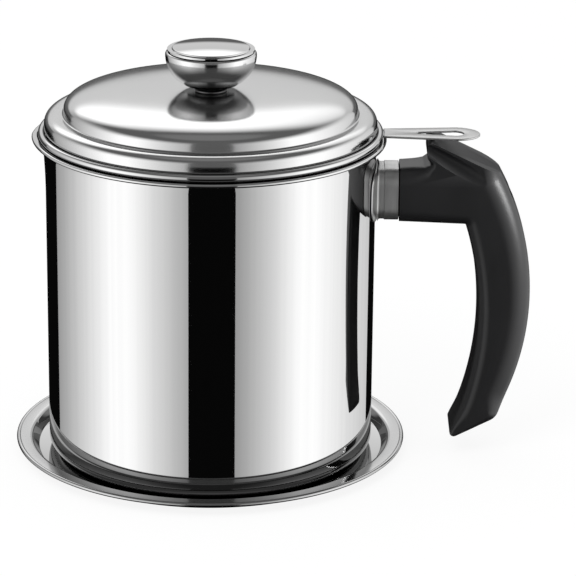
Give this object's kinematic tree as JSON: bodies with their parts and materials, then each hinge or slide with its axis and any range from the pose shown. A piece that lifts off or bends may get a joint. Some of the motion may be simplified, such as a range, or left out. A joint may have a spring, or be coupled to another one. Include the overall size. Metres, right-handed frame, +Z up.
{
  "type": "bacon grease container",
  "caption": "Polished steel grease keeper: lidded pot with a lift-out strainer and lifting tab, a black side handle with a thumb rest, and a drip tray.",
  "frame": {"origin": "centre of the tray's underside, on the table, on the pot's axis", "axes": "+Z up along the pot's axis, +X from the axis towards the handle, the pouring lip at -X"},
  "size_m": [0.1896, 0.1444, 0.153],
  "materials": {
    "polished_steel": "mirror-polished stainless sheet",
    "satin_steel": "satin stainless",
    "black_phenolic": "satin moulded phenolic"
  },
  "bodies": {
    "tray": {"tray": "polished_steel"},
    "pot": {"pot_body": "polished_steel", "handle_bracket": "polished_steel", "bracket_nut": "satin_steel", "handle_ferrule": "polished_steel", "handle_grip": "black_phenolic", "handle_bolt": "satin_steel", "handle_washer": "satin_steel"},
    "strainer": {"strainer_cup": "polished_steel", "strainer_mesh": "satin_steel", "mesh_ring": "satin_steel", "strainer_tab": "satin_steel"},
    "lid": {"lid_shell": "polished_steel", "knob_collar": "satin_steel", "knob_bowl": "polished_steel", "knob_cap": "polished_steel", "knob_insert": "satin_steel", "knob_screw": "satin_steel", "knob_washer": "satin_steel"}
  },
  "joints": [
    {"name": "pot_lift", "type": "slide", "parent": "tray", "child": "pot", "axis": [0, 0, 1], "range_m": [0, 0.05]},
    {"name": "strainer_lift", "type": "slide", "parent": "pot", "child": "strainer", "axis": [0, 0, 1], "range_m": [0, 0.06]},
    {"name": "lid_lift", "type": "slide", "parent": "strainer", "child": "lid", "axis": [0, 0, 1], "range_m": [0, 0.06]}
  ]
}
